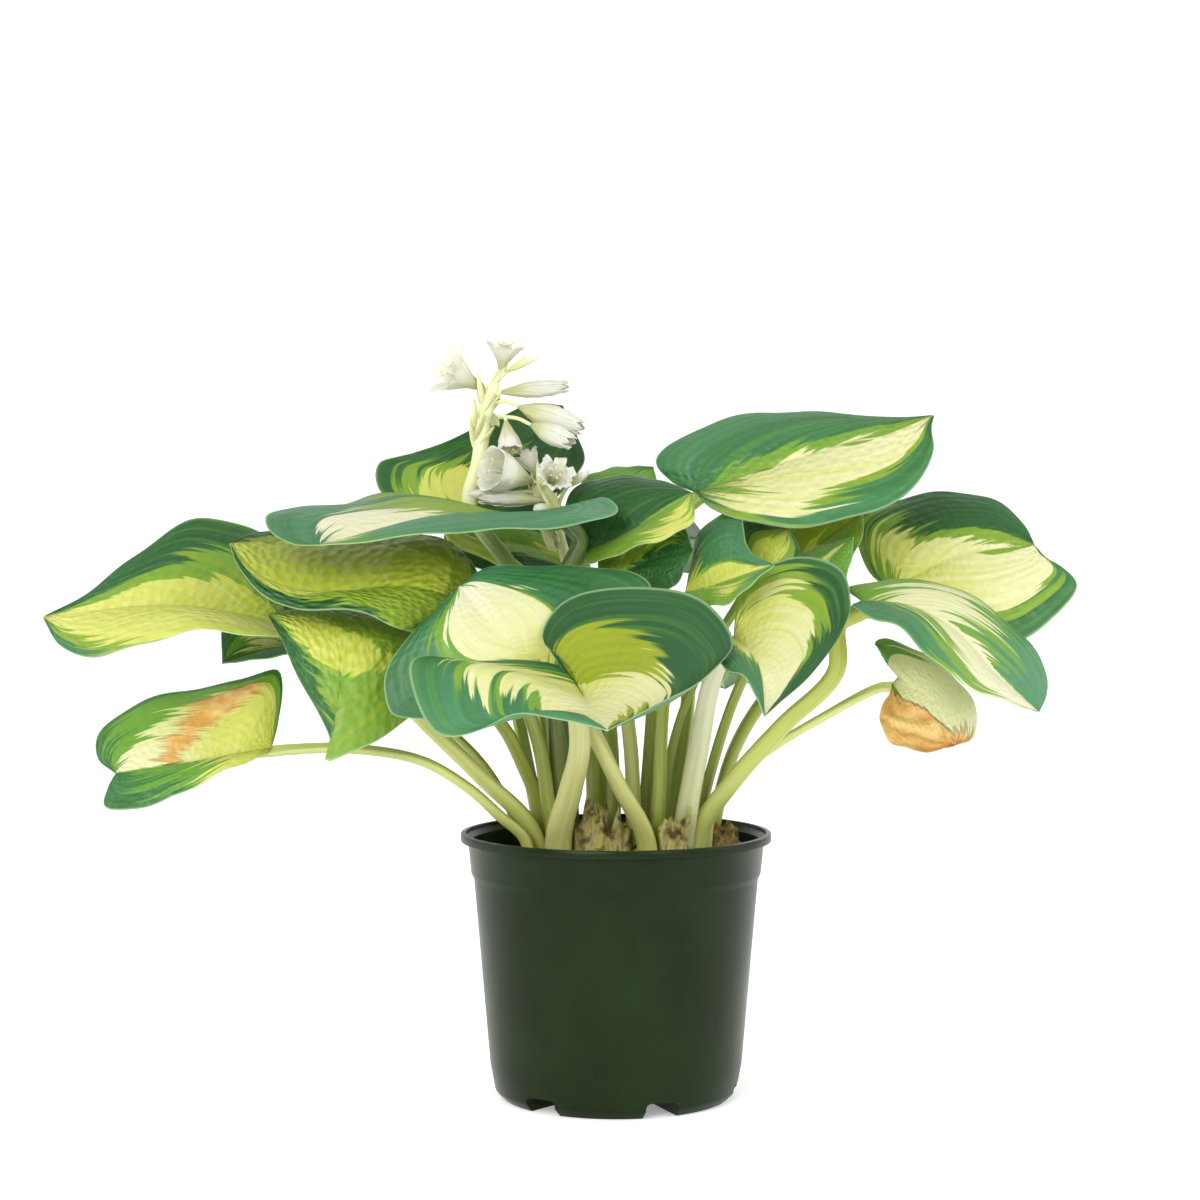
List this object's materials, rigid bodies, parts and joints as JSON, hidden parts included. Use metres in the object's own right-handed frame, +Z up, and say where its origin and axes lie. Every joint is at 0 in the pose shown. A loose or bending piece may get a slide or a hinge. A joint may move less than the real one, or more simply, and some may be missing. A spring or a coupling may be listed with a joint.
{
  "type": "potted plant",
  "caption": "Variegated hosta with broad ribbed leaves on stout stalks and pale flower heads, growing in a round tapered nursery pot.",
  "frame": {"origin": "centre of the pot's underside, on the surface that the pot stands on", "axes": "+Z up along the pot's axis, -Y towards the picture's camera, +X to the right as seen from there"},
  "size_m": [0.5442, 0.3642, 0.4055],
  "materials": {
    "pot": "satin moulded",
    "soil": "damp crumbly",
    "leaf": "waxy ribbed",
    "stem": "smooth",
    "petal": "soft matt",
    "dry_leaf": "papery",
    "bark": "rough"
  },
  "bodies": {
    "root": {"pot": "pot", "soil": "soil", "leaf_far_left": "leaf", "leaf_left_small": "leaf", "leaf_low_left": "leaf", "leaf_left": "leaf", "leaf_upper_left": "leaf", "leaf_top_back": "leaf", "leaf_hanging_left": "leaf", "leaf_front_back": "leaf", "leaf_front": "leaf", "leaf_inner_mid": "leaf", "leaf_inner_low": "leaf", "leaf_top_right": "leaf", "leaf_right": "leaf", "leaf_right_drooping": "leaf", "leaf_right_front": "leaf", "leaf_folded": "leaf", "leaf_young_right": "leaf", "leaf_young_outer": "leaf", "leaf_low_right": "leaf", "leaf_back_sliver": "leaf", "leaf_right_inner": "leaf", "leaf_inner_back": "leaf", "leaf_back_left": "leaf", "leaf_back": "leaf", "leaf_back_right": "leaf", "leaf_back_low_left": "leaf", "leaf_back_low_right": "leaf", "flower_stem_tall": "stem", "flower_stem_low": "stem", "bloom_star": "petal", "bloom_top": "petal", "bloom_right": "petal", "bloom_right_low": "petal", "bloom_nodding": "petal", "bloom_bell": "petal", "bloom_ruffled": "petal", "bloom_left": "petal", "bloom_back": "petal", "bloom_left_low": "petal", "bud_upper": "petal", "bud_left": "petal", "bud_front": "petal", "bud_right": "petal", "dry_base_left": "dry_leaf", "dry_base_middle": "dry_leaf", "dry_base_right": "dry_leaf", "bark_chip_large": "bark", "bark_chip_small": "bark"}
  },
  "joints": []
}
